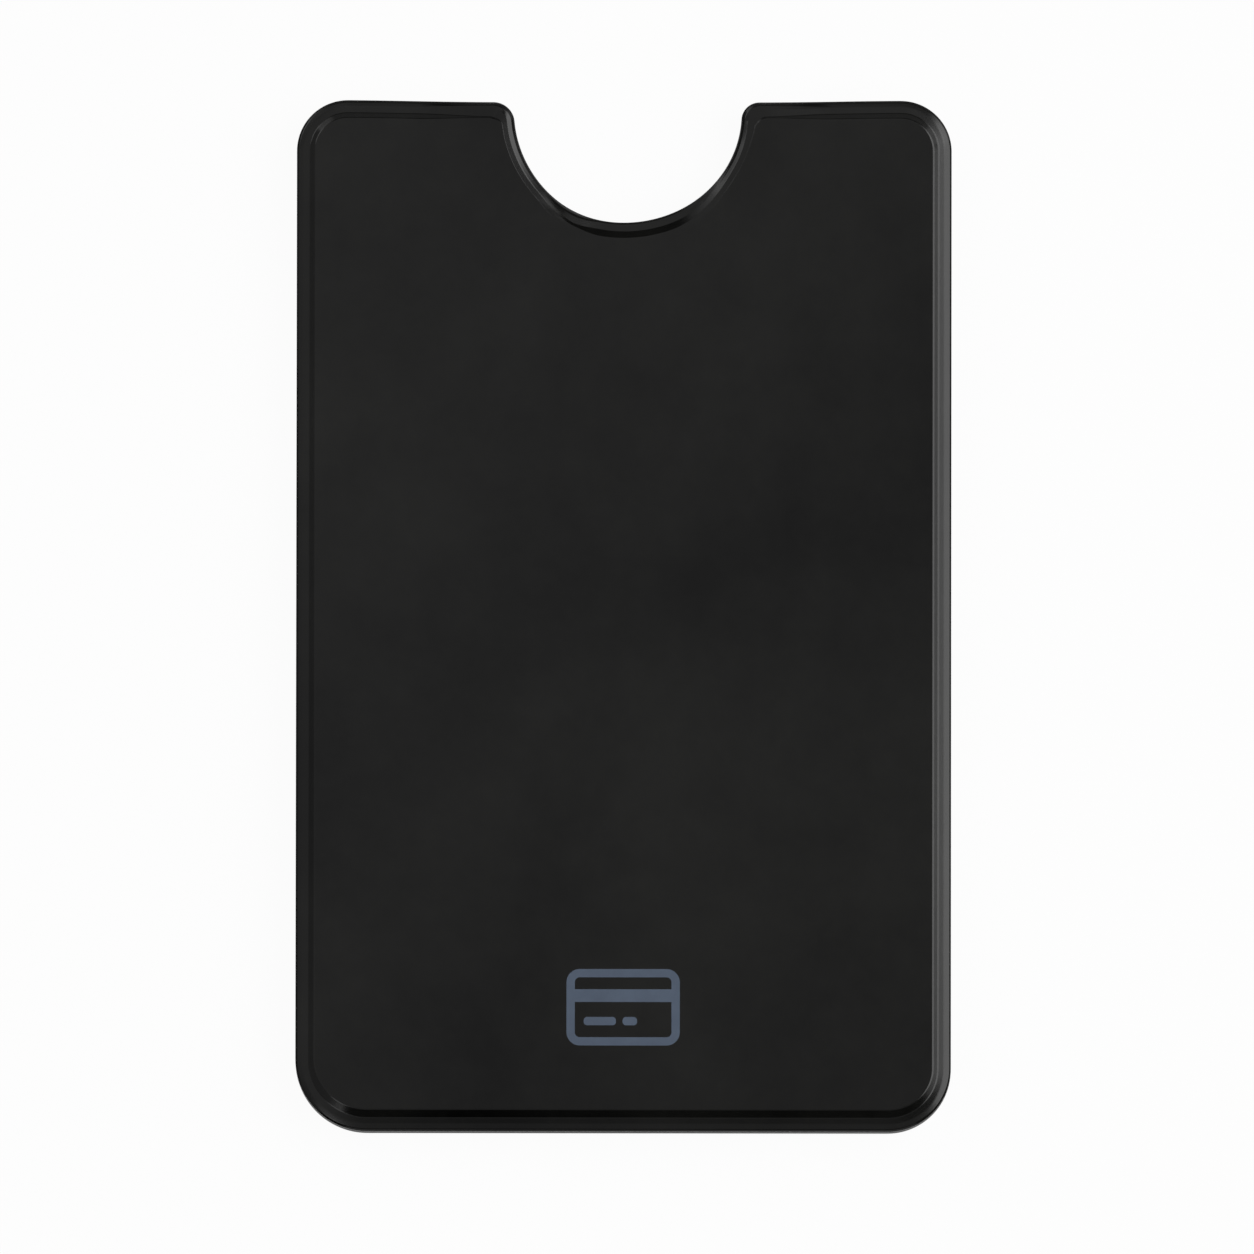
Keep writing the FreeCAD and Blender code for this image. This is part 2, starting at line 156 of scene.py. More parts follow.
# %% Shares round the whole outline
RUNS = {
    "right_side": SIDE_STEPS, "right_corner": CORNER_STEPS, "right_mouth": MOUTH_STEPS,
    "right_shoulder": SHOULDER_STEPS, "notch": NOTCH_STEPS, "left_shoulder": SHOULDER_STEPS,
    "left_mouth": MOUTH_STEPS, "left_corner": CORNER_STEPS, "left_side": SIDE_STEPS,
    "left_end_corner": CORNER_STEPS, "end": END_STEPS, "right_end_corner": CORNER_STEPS,
}


def shares_of(**given):
    """Column with a share for each point of the outline, 0 in every run that isn't given."""
    runs = [np.broadcast_to(given.get(run, 0.0), steps) for run, steps in RUNS.items()]
    return np.concatenate(runs)[:, None]


print("points in an outline:", sum(RUNS.values()))

# %% Shares of the shapes, with angles in the notch in degrees from its right end
from_right = np.linspace(0, 180, NOTCH_STEPS, endpoint=False)
bottom_share = smoothstep(from_right, 25, 70) * (1 - smoothstep(from_right, 124, 141))
into_notch = smoothstep(np.arange(SHOULDER_STEPS + NOTCH_STEPS), 14, 31)

BESIDE_NOTCH = shares_of(
    right_mouth=ramp(MOUTH_STEPS, 0.5, 1.0), right_shoulder=1, notch=1, left_shoulder=1,
    left_mouth=1 - ramp(MOUTH_STEPS, 0.0, 0.5))
ALONG_NOTCH = shares_of(
    right_shoulder=into_notch[:SHOULDER_STEPS], notch=into_notch[SHOULDER_STEPS:],
    left_shoulder=1 - ramp(SHOULDER_STEPS, 0.0, 0.75))
AT_BOTTOM = shares_of(notch=bottom_share)
AT_TAPER = shares_of(notch=smoothstep(from_right, 103, 119) * bottom_share)
AT_MERGE = shares_of(notch=smoothstep(from_right, 117, 129) * bottom_share)
ALONG_END = shares_of(left_end_corner=ramp(CORNER_STEPS), end=1, right_end_corner=1 - ramp(CORNER_STEPS))
for place, column in (("bottom of the notch", AT_BOTTOM), ("closed end", ALONG_END)):
    print(f"points at the {place}:", int((column > 0).sum()))

# %% [markdown]
# ## The edge profile
#
# Going inwards from the side, a shell has a shadow groove at the seam, a plain wall, a rounded edge, a rim that
# slopes up gently, a step and the raised panel. Each bend is a small radius that draws a line of light or shade, so
# the profile decides the whole look of the black sleeve. A Bevel modifier would give every bend the same shape.
# Drawing the profile point by point keeps each radius, and two extra points beside each bend keep the flats flat.
# Every shape of the edge has the same number of corners, so that the shapes can be blended corner by corner. A shape
# that needs fewer has the spare ones on a straight part of it.

# %% A profile with rounded bends
SUPPORT = 0.05


def rounded_profile(bends):
    """Points (inset, height) along a profile; each bend is a corner, a radius and a number of steps."""
    corners = np.array([bend[0] for bend in bends], float)
    lengths = np.linalg.norm(np.diff(corners, axis=0), axis=1)
    ways = np.diff(corners, axis=0) / lengths[:, None]
    turns = [0, *(math.acos(min(1, a @ b)) for a, b in zip(ways, ways[1:])), 0]
    reaches = [bend[1] * math.tan(turn / 2) for bend, turn in zip(bends, turns)]
    straights = [length - a - b for length, a, b in zip(lengths, reaches, reaches[1:])]
    assert min(straights) > 0, "two bends of a profile overlap"
    supports = [min(SUPPORT, straight / 3) for straight in straights]
    points = [corners[0]]
    for i in range(1, len(bends) - 1):
        coming, going = ways[i - 1], ways[i]
        _, radius, steps = bends[i]
        start = corners[i] - coming * reaches[i]
        side = math.copysign(1, coming[0] * going[1] - coming[1] * going[0])
        inwards = side * np.array([-coming[1], coming[0]])
        angles = np.linspace(0, turns[i], steps + 1)
        sweep = [start + radius * (math.sin(a) * coming + (1 - math.cos(a)) * inwards) for a in angles]
        points += [start - coming * supports[i - 1], *sweep, sweep[-1] + going * supports[i]]
    return np.array(points + [corners[-1]])


# %% From the seam to the panel, in mm from the outer side and from the seam
PANEL_HEIGHT = 2.0
PANEL_START = 2.4
SEAM_DEPTH, SEAM_LAND = 0.16, 0.14
WALL_ROUND, GROOVE_ROUND = 0.05, 0.03
GROOVE_STEPS, WALL_STEPS, RIM_STEPS = 3, 6, 8


def shell_profile(wall_top, *rim):
    """Seam groove and wall, then the corners of the rim, each with its radius, and the panel."""
    return rounded_profile([
        ((SEAM_DEPTH, 0.0), 0, 0),
        ((SEAM_DEPTH, SEAM_LAND), GROOVE_ROUND, GROOVE_STEPS),
        ((0.0, SEAM_LAND), GROOVE_ROUND, GROOVE_STEPS),
        ((0.0, wall_top), WALL_ROUND, WALL_STEPS),
        *((corner, radius, RIM_STEPS) for corner, radius in rim),
        ((PANEL_START, PANEL_HEIGHT), 0, 0),
    ])


# %% The seven profiles: top of the wall, then six corners of the rim with their radii
side_profile = shell_profile(
    1.31, ((0.19, 1.468), 0.25), ((0.32, 1.4994), 1.0), ((0.46, 1.5332), 1.0), ((0.60, 1.567), 2.5),
    ((1.17, 1.65), 0.30), ((1.63, 2.0), 0.30))
lip_profile = shell_profile(
    1.50, ((0.10, 1.60), 0.25), ((0.20, 1.69), 0.25), ((0.30, 1.775), 0.20), ((0.60, 1.82), 1.5),
    ((1.345, 1.915), 0.15), ((1.455, 2.0), 0.15))
flank_profile = shell_profile(
    1.45, ((0.10, 1.55), 0.25), ((0.20, 1.64), 0.25), ((0.30, 1.73), 0.25), ((0.63, 1.926), 0.30),
    ((1.13, 1.988), 0.02), ((1.146, 2.0), 0.02))
bottom_profile = shell_profile(
    1.47, ((0.14, 1.59), 0.25), ((0.42, 1.637), 0.7), ((0.82, 1.69), 0.30), ((1.44, 2.0), 0.30),
    ((1.75, 2.0), 1.0), ((1.95, 2.0), 1.0))
taper_profile = shell_profile(
    1.47, ((0.31, 1.765), 0.5), ((0.62, 1.815), 0.7), ((1.02, 1.88), 0.15), ((1.25, 2.0), 0.15),
    ((1.50, 2.0), 1.0), ((1.70, 2.0), 1.0))
merge_profile = shell_profile(
    1.46, ((0.25, 1.70), 0.4), ((0.48, 1.775), 0.5), ((0.70, 1.846), 0.5), ((0.95, 1.927), 0.5),
    ((1.18, 2.0), 0.4), ((1.50, 2.0), 1.0))
end_profile = shell_profile(
    1.31, ((0.19, 1.468), 0.25), ((0.32, 1.4994), 1.0), ((0.46, 1.5332), 1.0), ((0.60, 1.567), 2.5),
    ((1.22, 1.65), 0.30), ((1.92, 2.0), 0.30))
PROFILES = (side_profile, lip_profile, flank_profile, bottom_profile, taper_profile, merge_profile, end_profile)
print("levels in each profile:", [len(profile) for profile in PROFILES])

# %% [markdown]
# ## Meshes from levels
#
# The outside of a shell could be pulled up from a flat outline with Extrude and Scale, level by level, but scaling
# would change the notch and the corners each time. A closed skin of quads through matched rings, with one flat face
# at each end, keeps every level as it was drawn. The same helper makes the cutters for the inside, because a cutter
# is only two rings.

# %% Skin through matched rings
def linked(name, mesh):
    """Object in the scene from a finished bmesh."""
    data = bpy.data.meshes.new(name)
    mesh.to_mesh(data)
    mesh.free()
    made = bpy.data.objects.new(name, data)
    bpy.context.scene.collection.objects.link(made)
    return made


def ringed_mesh(name, rings):
    """Closed object through rings of equal length, lowest first, in mm."""
    mesh = bmesh.new()
    rows = [[mesh.verts.new(Vector(point) * MM) for point in ring] for ring in rings]
    count = len(rows[0])
    for low, high in zip(rows, rows[1:]):
        for i in range(count):
            mesh.faces.new((low[i - 1], low[i], high[i], high[i - 1]))
    mesh.faces.new(list(reversed(rows[0])))
    mesh.faces.new(rows[-1])
    bmesh.ops.recalc_face_normals(mesh, faces=mesh.faces)
    print(f"{name}: {len(rows)} rings of {count} points")
    return linked(name, mesh)


def level(points, height):
    """A flat ring at a height."""
    return np.column_stack([points, np.broadcast_to(height, len(points))])


# %% The outside of a shell, with the radii of the right and the left shoulder at two insets
SHOULDER_INSETS, SHOULDER_RADII = (0.0, 1.2), ((1.62, 1.0), (1.91, 1.0))


def ring_at(point, way):
    """Ring of the whole outline for one point (inset, height) of a profile; way -1 swaps right and left."""
    inset, height = point
    shoulders = [np.interp(inset, SHOULDER_INSETS, radii) for radii in SHOULDER_RADII]
    outline = notched_outline(
        HALF_WIDTH - inset, HALF_LENGTH - inset, HALF_LENGTH - inset, END_CORNERS[::way] - inset,
        MOUTH_CORNER - inset, NOTCH_RADIUS + inset, shoulders[::way], way * NOTCH_SHIFT,
        NOTCH_BULGES * (1, way, 1, way, 1),
    )
    return level(outline, height)


def shell_rings(way):
    """Rings of a shell with its seam at height 0 and its panel up."""
    rings = []
    for points in zip(*PROFILES):
        side, lip, flank, bottom, taper, merge, end = (ring_at(point, way) for point in points)
        rings.append(side + BESIDE_NOTCH * (lip - side) + ALONG_NOTCH * (flank - lip)
                     + AT_BOTTOM * (bottom - flank) + AT_TAPER * (taper - bottom) + AT_MERGE * (merge - taper)
                     + ALONG_END * (end - side))
    return rings


print("rings of a shell:", len(shell_rings(1)))

# %% [markdown]
# ## The inside of a shell
#
# Inside lies half of the card slot, with a flare at the mouth, a shallow recess for the blocking sheet, and two low
# bumps that grip the card's long edges. The front shell has a groove round three sides and the rear shell a tongue
# that is welded into it. Worked into the skin by hand, they would break up its even quads. They are straight-sided
# forms, so each is a prism that a Boolean modifier cuts or adds.

# %% The slot and its flare, in mm
HALF_SLOT, SLOT_END, SLOT_CORNER, HALF_GAP = 27.35, 44.3, 3.0, 0.75
FLARE_LENGTH, FLARE_HEIGHT = 0.8, 0.16
PAST = 2.0
ROUND_END_STEPS = 16


def round_end(half_width, end, radius, mouth):
    """U-shaped run of points, from its left arm at the mouth round the closed end to its right arm."""
    return np.vstack([
        [(-half_width, mouth)],
        arc_points((radius - half_width, radius - end), radius, math.pi, math.pi + QUARTER, ROUND_END_STEPS),
        arc_points((half_width - radius, radius - end), radius, -QUARTER, 0, ROUND_END_STEPS),
        [(half_width, radius - end), (half_width, mouth)],
    ])


def slot_prism():
    outline = round_end(HALF_SLOT, SLOT_END, SLOT_CORNER, HALF_LENGTH + PAST)
    return ringed_mesh("slot_cut", [level(outline, -PAST), level(outline, HALF_GAP)])


def flare_prism():
    steepness = FLARE_HEIGHT / FLARE_LENGTH
    inner, outer = HALF_LENGTH - FLARE_LENGTH, HALF_LENGTH + PAST
    roof = [(inner, HALF_GAP), (outer, HALF_GAP + steepness * (outer - inner)), (outer, -PAST), (inner, -PAST)]
    return ringed_mesh("flare_cut", [[(x, y, z) for y, z in roof] for x in (-HALF_SLOT, HALF_SLOT)])


print("slot in mm:", 2 * HALF_SLOT, "wide and", 2 * HALF_GAP, "high")

# %% The recess of the blocking sheet, in mm
HALF_RECESS, RECESS_END, RECESS_MOUTH, RECESS_DEPTH = 26.85, 43.8, 44.6, 0.95
RECESS_NOTCH, RECESS_CORNER, RECESS_END_CORNER = 12.2, 1.1, 2.5


def recess_prism():
    outline = notched_outline(HALF_RECESS, RECESS_END, RECESS_MOUTH, (RECESS_END_CORNER, RECESS_END_CORNER),
                              RECESS_CORNER, RECESS_NOTCH, (RECESS_CORNER, RECESS_CORNER))
    return ringed_mesh("recess_cut", [level(outline, -PAST), level(outline, RECESS_DEPTH)])


print("recess in mm:", 2 * HALF_RECESS, "wide and", RECESS_END + RECESS_MOUTH, "long")

# %% The track of tongue and groove, in mm
TRACK_SIDE, TRACK_END, TRACK_CORNER, TRACK_MOUTH = 28.425, 45.4, 5.025, 42.5
TONGUE_WIDTH, TONGUE_HEIGHT, TONGUE_CLEARANCE = 0.60, 0.45, 0.05
TONGUE_ROOT = 0.1


def track_prism(name, spread, low, high):
    """U-shaped track in the middle of the walls, widened by a spread."""
    half = TONGUE_WIDTH / 2 + spread
    reach = TRACK_MOUTH + spread
    outer = round_end(TRACK_SIDE + half, TRACK_END + half, TRACK_CORNER + half, reach)
    inner = round_end(TRACK_SIDE - half, TRACK_END - half, TRACK_CORNER - half, reach)
    outline = np.vstack([outer, inner[::-1]])
    return ringed_mesh(name, [level(outline, low), level(outline, high)])


print("tongue in mm:", TONGUE_WIDTH, "wide and", TONGUE_HEIGHT, "high")

# %% The grip bumps, in mm
BUMP_MIDDLE, BUMP_LENGTH, BUMP_HEIGHT = 33.5, 8.0, 0.30
BUMP_IN_WALL, BUMP_IN_FLOOR, BOW_STEPS = 0.2, 0.1, 24


def bump_prism(side):
    """Shallow bow on one side wall, sunk a little into the wall and the floor of the slot."""
    radius = (BUMP_LENGTH / 2) ** 2 / (2 * BUMP_HEIGHT) + BUMP_HEIGHT / 2
    spread = math.asin(BUMP_LENGTH / 2 / radius)
    bow_centre, wall = (HALF_SLOT - BUMP_HEIGHT + radius, BUMP_MIDDLE), HALF_SLOT + BUMP_IN_WALL
    bow = arc_points(bow_centre, radius, math.pi - spread, math.pi + spread, BOW_STEPS)
    back = [(wall, BUMP_MIDDLE - BUMP_LENGTH / 2), (wall, BUMP_MIDDLE + BUMP_LENGTH / 2)]
    outline = np.vstack([bow, back]) * (side, 1)
    return ringed_mesh("grip_bump", [level(outline, 0), level(outline, HALF_GAP + BUMP_IN_FLOOR)])


print("room between the bumps in mm:", round(2 * (HALF_SLOT - BUMP_HEIGHT), 2))

# %% [markdown]
# ## Joining them
#
# The modifiers are applied at once, so that the shell is one plain mesh, and the cutters are deleted. Points that
# fall together, where a bend has shrunk to nothing, are merged. Edges sharper than 35 degrees stay crisp and the rest
# is shaded smooth. The mouth edge of the real sleeve dips by a fifth of a millimetre towards the notch, which is a
# small move of the points near it.

# %% Booleans and welding
WELD_GAP = 1e-7


def join(body, tool, operation):
    """Cut a tool from a body or add it, and delete the tool."""
    modifier = body.modifiers.new(tool.name, "BOOLEAN")
    modifier.operation = operation
    modifier.solver = "MANIFOLD"
    modifier.object = tool
    result = body.evaluated_get(bpy.context.evaluated_depsgraph_get())
    data = bpy.data.meshes.new_from_object(result)
    body.modifiers.clear()
    body.data = data
    bpy.data.meshes.remove(tool.data)


def weld(mesh):
    """Merge points that coincide where a bend of a profile has shrunk to nothing."""
    work = bmesh.new()
    work.from_mesh(mesh)
    before = len(work.verts)
    bmesh.ops.remove_doubles(work, verts=work.verts, dist=WELD_GAP)
    print("points merged:", before - len(work.verts))
    work.to_mesh(mesh)
    work.free()


# %% The dip of the mouth edge, in mm
DIP = 0.18
DIP_ALONG, DIP_ACROSS = (38.0, 45.0), (11.0, 26.0)


def dip_mouth(mesh):
    """Lower the mouth edge, most beside the notch and not at all at the corners."""
    points = np.empty(len(mesh.vertices) * 3)
    mesh.vertices.foreach_get("co", points)
    points = points.reshape(-1, 3)
    near = smoothstep(points[:, 1] / MM, *DIP_ALONG) * (1 - smoothstep(np.abs(points[:, 0]) / MM, *DIP_ACROSS))
    points[:, 1] -= DIP * MM * near
    mesh.vertices.foreach_set("co", points.ravel())
    print("points moved by the dip:", int((near > 0).sum()))


# %% A whole shell
CRISP = math.radians(35)


def shell(name, way, seam_prism, seam_operation):
    """Shell with its inside; way -1 is for the one that will be turned over."""
    made = ringed_mesh(name, shell_rings(way))
    for prism in (slot_prism(), flare_prism(), recess_prism()):
        join(made, prism, "DIFFERENCE")
    for side in (1, -1):
        join(made, bump_prism(side), "UNION")
    join(made, seam_prism, seam_operation)
    weld(made.data)
    dip_mouth(made.data)
    return made


def place_shell(made, node, turn):
    """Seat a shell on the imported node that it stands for."""
    made.data.transform(Matrix.Translation((0, 0, PANEL_HEIGHT * MM)) @ turn)
    made.data.shade_smooth()
    made.data.set_sharp_from_angle(angle=CRISP)
    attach(made, "root")
    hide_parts(node)
    low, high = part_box(node)
    print(made.name, len(made.data.polygons), "faces; packed node spans z in mm",
          [round(z / MM, 2) for z in (low.z, high.z)])


# %% Front and rear shell
groove = track_prism("groove_cut", TONGUE_CLEARANCE, -PAST, TONGUE_HEIGHT + TONGUE_CLEARANCE)
front_shell = shell("front_shell", 1, groove, "DIFFERENCE")
place_shell(front_shell, "front_cover", Matrix.Identity(4))

tongue = track_prism("tongue", 0, -TONGUE_HEIGHT, TONGUE_ROOT)
rear_shell = shell("rear_shell", -1, tongue, "UNION")
place_shell(rear_shell, "rear_cover", Matrix.Rotation(math.pi, 4, "Y"))

# %% [markdown]
# ## The printed mark
#
# Such sleeves carry a small one-colour pad print near the closed end. A plain picture of a card is used here: a
# round-cornered frame, a stripe and two short dashes. The print could be painted by the plastic's material, but a
# thin film of ink as its own piece keeps its edges crisp at any distance.

# %% Ink shapes, in mm
INK_MIDDLE = (0.0, -35.4)
INK_SINK, INK_RISE = 0.010, 0.012
INK_CORNER_STEPS = 10


def rounded_rectangle(width, height, radius, middle=(0.0, 0.0)):
    """Anticlockwise points of a rectangle with round corners."""
    runs = []
    for quarter, (x, y) in enumerate([(1, 1), (-1, 1), (-1, -1), (1, -1)]):
        centre = (middle[0] + x * (width / 2 - radius), middle[1] + y * (height / 2 - radius))
        angles = np.linspace(quarter, quarter + 1, INK_CORNER_STEPS + 1) * QUARTER
        runs.append(np.array(centre) + radius * np.column_stack([np.cos(angles), np.sin(angles)]))
    return np.vstack(runs)


FRAME_OUTSIDE, FRAME_INSIDE = rounded_rectangle(10.2, 6.9, 1.2), rounded_rectangle(8.7, 5.4, 0.45)
STRIPE = rounded_rectangle(8.7, 1.15, 0.02, (0.0, 1.05))
DASHES = rounded_rectangle(2.9, 0.75, 0.3, (-2.1, -1.25)), rounded_rectangle(1.3, 0.75, 0.3, (0.6, -1.25))
print("mark in mm:", np.ptp(FRAME_OUTSIDE, axis=0).round(2).tolist())


# %% A film of ink
def ink_film(mesh, outline, hole=None):
    """Thin slab of ink on the panel; a hole has as many points as the outline."""
    base = PANEL_HEIGHT * 2
    heights = (base - INK_SINK, base + INK_RISE)
    rows = []
    for points in (outline,) if hole is None else (outline, hole):
        points = points + np.array(INK_MIDDLE)
        rows.append([[mesh.verts.new(Vector((x, y, z)) * MM) for x, y in points] for z in heights])
    count = len(outline)
    for low, high in rows:
        for i in range(count):
            mesh.faces.new((low[i - 1], low[i], high[i], high[i - 1]))
    if hole is None:
        mesh.faces.new(rows[0][0])
        mesh.faces.new(rows[0][1])
        return
    for outer, inner in zip(rows[0], rows[1]):
        for i in range(count):
            mesh.faces.new((outer[i - 1], outer[i], inner[i], inner[i - 1]))


# %% The mark as one piece
ink = bmesh.new()
ink_film(ink, FRAME_OUTSIDE, FRAME_INSIDE)
for bar in (STRIPE, *DASHES):
    ink_film(ink, bar)
bmesh.ops.recalc_face_normals(ink, faces=ink.faces)
printed_mark = linked("printed_mark", ink)
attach(printed_mark, "root")
print("printed mark:", len(printed_mark.data.polygons), "faces")

# %% [markdown]
# ## Shared surface effects
#
# Two effects appear in more than one material. Fine grain is the tiny unevenness that keeps moulded plastic and ink
# from being a perfect mirror. Cloud is the soft change over centimetres that a mould and handling leave behind. Both
# could be drawn anew in every material. As node groups with named sockets they are built once, and every material
# uses them at its own scale and strength.

# %% Node helpers
def add_node(tree, kind, **inputs):
    """New node; inputs are set by socket name with _ for a space."""
    node = tree.nodes.new(kind)
    for name, value in inputs.items():
        node.inputs[name.replace("_", " ")].default_value = value
    return node


def new_group(name, inputs, outputs):
    """Empty node group with float sockets: names with default values in, names out."""
    group = bpy.data.node_groups.new(name, "ShaderNodeTree")
    for socket, default in inputs.items():
        made = group.interface.new_socket(socket, in_out="INPUT", socket_type="NodeSocketFloat")
        made.default_value = default
    for socket in outputs:
        group.interface.new_socket(socket, in_out="OUTPUT", socket_type="NodeSocketFloat")
    return group, group.nodes.new("NodeGroupInput"), group.nodes.new("NodeGroupOutput")


def use_group(tree, group, **inputs):
    """A node group placed in a tree with its own values."""
    node = tree.nodes.new("ShaderNodeGroup")
    node.node_tree = group
    for name, value in inputs.items():
        node.inputs[name].default_value = value
    return node


# %% Fine grain
def fine_grain_group():
    """Small noise, drawn out along Y where the stretch is below 1."""
    group, given, out = new_group("fine grain", {"Scale": 3000.0, "Stretch": 1.0}, ["Height"])
    place = add_node(group, "ShaderNodeTexCoord")
    pull = add_node(group, "ShaderNodeCombineXYZ", X=1.0, Z=1.0)
    stretched = group.nodes.new("ShaderNodeVectorMath")
    stretched.operation = "MULTIPLY"
    noise = add_node(group, "ShaderNodeTexNoise", Detail=3.0, Roughness=0.6)
    group.links.new(given.outputs["Stretch"], pull.inputs["Y"])
    group.links.new(place.outputs["Object"], stretched.inputs[0])
    group.links.new(pull.outputs["Vector"], stretched.inputs[1])
    group.links.new(stretched.outputs["Vector"], noise.inputs["Vector"])
    group.links.new(given.outputs["Scale"], noise.inputs["Scale"])
    group.links.new(noise.outputs["Fac"], out.inputs["Height"])
    return group


FINE_GRAIN = fine_grain_group()
print("node group:", FINE_GRAIN.name, "with", len(FINE_GRAIN.nodes), "nodes")

# %% Cloud
NOISE_LOW, NOISE_HIGH = 0.36, 0.64


def cloud_group():
    """Broad noise, spread from the range that it mostly has to the one that is asked for."""
    group, given, out = new_group("cloud", {"Scale": 60.0, "Low": 0.0, "High": 1.0}, ["Value"])
    place = add_node(group, "ShaderNodeTexCoord")
    noise = add_node(group, "ShaderNodeTexNoise", Detail=6.0, Roughness=0.72)
    spread = add_node(group, "ShaderNodeMapRange", From_Min=NOISE_LOW, From_Max=NOISE_HIGH)
    group.links.new(place.outputs["Object"], noise.inputs["Vector"])
    group.links.new(given.outputs["Scale"], noise.inputs["Scale"])
    group.links.new(noise.outputs["Fac"], spread.inputs["Value"])
    group.links.new(given.outputs["Low"], spread.inputs["To Min"])
    group.links.new(given.outputs["High"], spread.inputs["To Max"])
    group.links.new(spread.outputs["Result"], out.inputs["Value"])
    return group


CLOUD = cloud_group()
print("node group:", CLOUD.name, "with", len(CLOUD.nodes), "nodes")

# %% [markdown]
# ## The materials
#
# The shells are black plastic with a satin skin: almost all that is seen is reflected light, so roughness matters
# more than colour. Their upright sides are matt, as where a mould is spark-eroded and not polished. That could be a
# second material, but here it is one more term of the roughness, taken from the slope of the face, so that there is
# no hard line between the two. The sheets are rolled aluminium with fine lines along the roll. The film that holds
# them is clear acrylic, of which only an edge shows. The ink is blue-grey and a little chalkier than the plastic.

# %% Drifting colour and matt sides
UPRIGHT, LYING = 0.25, 0.65


def two_tones(tree, dark, light, scale):
    """Colour that drifts between two tones."""
    cloud = use_group(tree, CLOUD, Scale=scale)
    mix = tree.nodes.new("ShaderNodeMix")
    mix.data_type = "RGBA"
    mix.inputs["A"].default_value = (*dark, 1)
    mix.inputs["B"].default_value = (*light, 1)
    tree.links.new(cloud.outputs["Value"], mix.inputs["Factor"])
    return mix.outputs["Result"]


def matt_sides(tree, roughness, extra):
    """Roughness that rises by an extra on faces that stand upright."""
    facing = tree.nodes.new("ShaderNodeNewGeometry")
    parts = tree.nodes.new("ShaderNodeSeparateXYZ")
    size = tree.nodes.new("ShaderNodeMath")
    size.operation = "ABSOLUTE"
    spread = add_node(tree, "ShaderNodeMapRange", From_Min=UPRIGHT, From_Max=LYING, To_Min=extra, To_Max=0.0)
    total = tree.nodes.new("ShaderNodeMath")
    tree.links.new(facing.outputs["True Normal"], parts.inputs["Vector"])
    tree.links.new(parts.outputs["Z"], size.inputs[0])
    tree.links.new(size.outputs["Value"], spread.inputs["Value"])
    tree.links.new(roughness, total.inputs[0])
    tree.links.new(spread.outputs["Result"], total.inputs[1])
    return total.outputs["Value"]


# %% A material from its parts
def surface(name, tones, tone_scale, roughness, roughness_scale, grain, stretch, bump, sides=0.0, **constants):
    """Material with drifting colour and roughness and a fine grain, and with upright faces that much rougher."""
    material = bpy.data.materials.new(name)
    material.use_nodes = True
    tree = material.node_tree
    shader = tree.nodes["Principled BSDF"]
    for socket, value in constants.items():
        shader.inputs[socket.replace("_", " ")].default_value = value
    tree.links.new(two_tones(tree, *tones, tone_scale), shader.inputs["Base Color"])
    haze = use_group(tree, CLOUD, Scale=roughness_scale, Low=roughness[0], High=roughness[1])
    rough = matt_sides(tree, haze.outputs["Value"], sides) if sides else haze.outputs["Value"]
    tree.links.new(rough, shader.inputs["Roughness"])
    height = use_group(tree, FINE_GRAIN, Scale=grain, Stretch=stretch)
    relief = add_node(tree, "ShaderNodeBump", Strength=bump[0], Distance=bump[1])
    tree.links.new(height.outputs["Height"], relief.inputs["Height"])
    tree.links.new(relief.outputs["Normal"], shader.inputs["Normal"])
    print(f"{name}: {len(tree.nodes)} nodes")
    return material


# %% The four finishes
black_plastic = surface(
    "black satin plastic", tones=[(0.0001, 0.0001, 0.0001), (0.0085, 0.0085, 0.0076)], tone_scale=24.0,
    roughness=(0.15, 0.18), roughness_scale=70.0, grain=2600.0, stretch=1.0, bump=(0.06, 0.00002),
    sides=0.40, IOR=1.5,
)
rolled_aluminium = surface(
    "rolled aluminium", tones=[(0.70, 0.71, 0.72), (0.80, 0.81, 0.82)], tone_scale=120.0,
    roughness=(0.26, 0.36), roughness_scale=200.0, grain=2200.0, stretch=0.02, bump=(0.25, 0.00003), Metallic=1.0,
)
acrylic_film = surface(
    "clear acrylic film", tones=[(0.70, 0.66, 0.56), (0.82, 0.78, 0.68)], tone_scale=150.0,
    roughness=(0.35, 0.50), roughness_scale=160.0, grain=1500.0, stretch=1.0, bump=(0.20, 0.00002), IOR=1.48,
)
grey_ink = surface(
    "blue-grey ink", tones=[(0.077, 0.105, 0.156), (0.090, 0.123, 0.180)], tone_scale=400.0,
    roughness=(0.42, 0.52), roughness_scale=300.0, grain=3500.0, stretch=1.0, bump=(0.15, 0.00002), IOR=1.5,
)


# %% Dressing the pieces
def dress(piece, material):
    piece.data.materials.clear()
    piece.data.materials.append(material)


for shell_piece in (front_shell, rear_shell):
    dress(shell_piece, black_plastic)
dress(printed_mark, grey_ink)
for side_name in ("front", "rear"):
    dress(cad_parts[f"{side_name}_shield"], rolled_aluminium)
    dress(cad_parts[f"{side_name}_shield_film"], acrylic_film)
print("materials:", [material.name for material in bpy.data.materials if material.users])

# %% [markdown]
# ## The floor
#
# The sleeve lies on a white table. To the camera, and in reflections, most of the table's light is its own, so that
# it comes out white without more lamps, and the small rest still takes the sleeve's shadow. Seen from below the
# table is clear, so that the rear panel can be looked at too.

# %% White table
TABLE_SIZE, TABLE_HEIGHT = 12, -0.00004
TABLE_COLOUR = (0.86, 0.86, 0.86, 1)

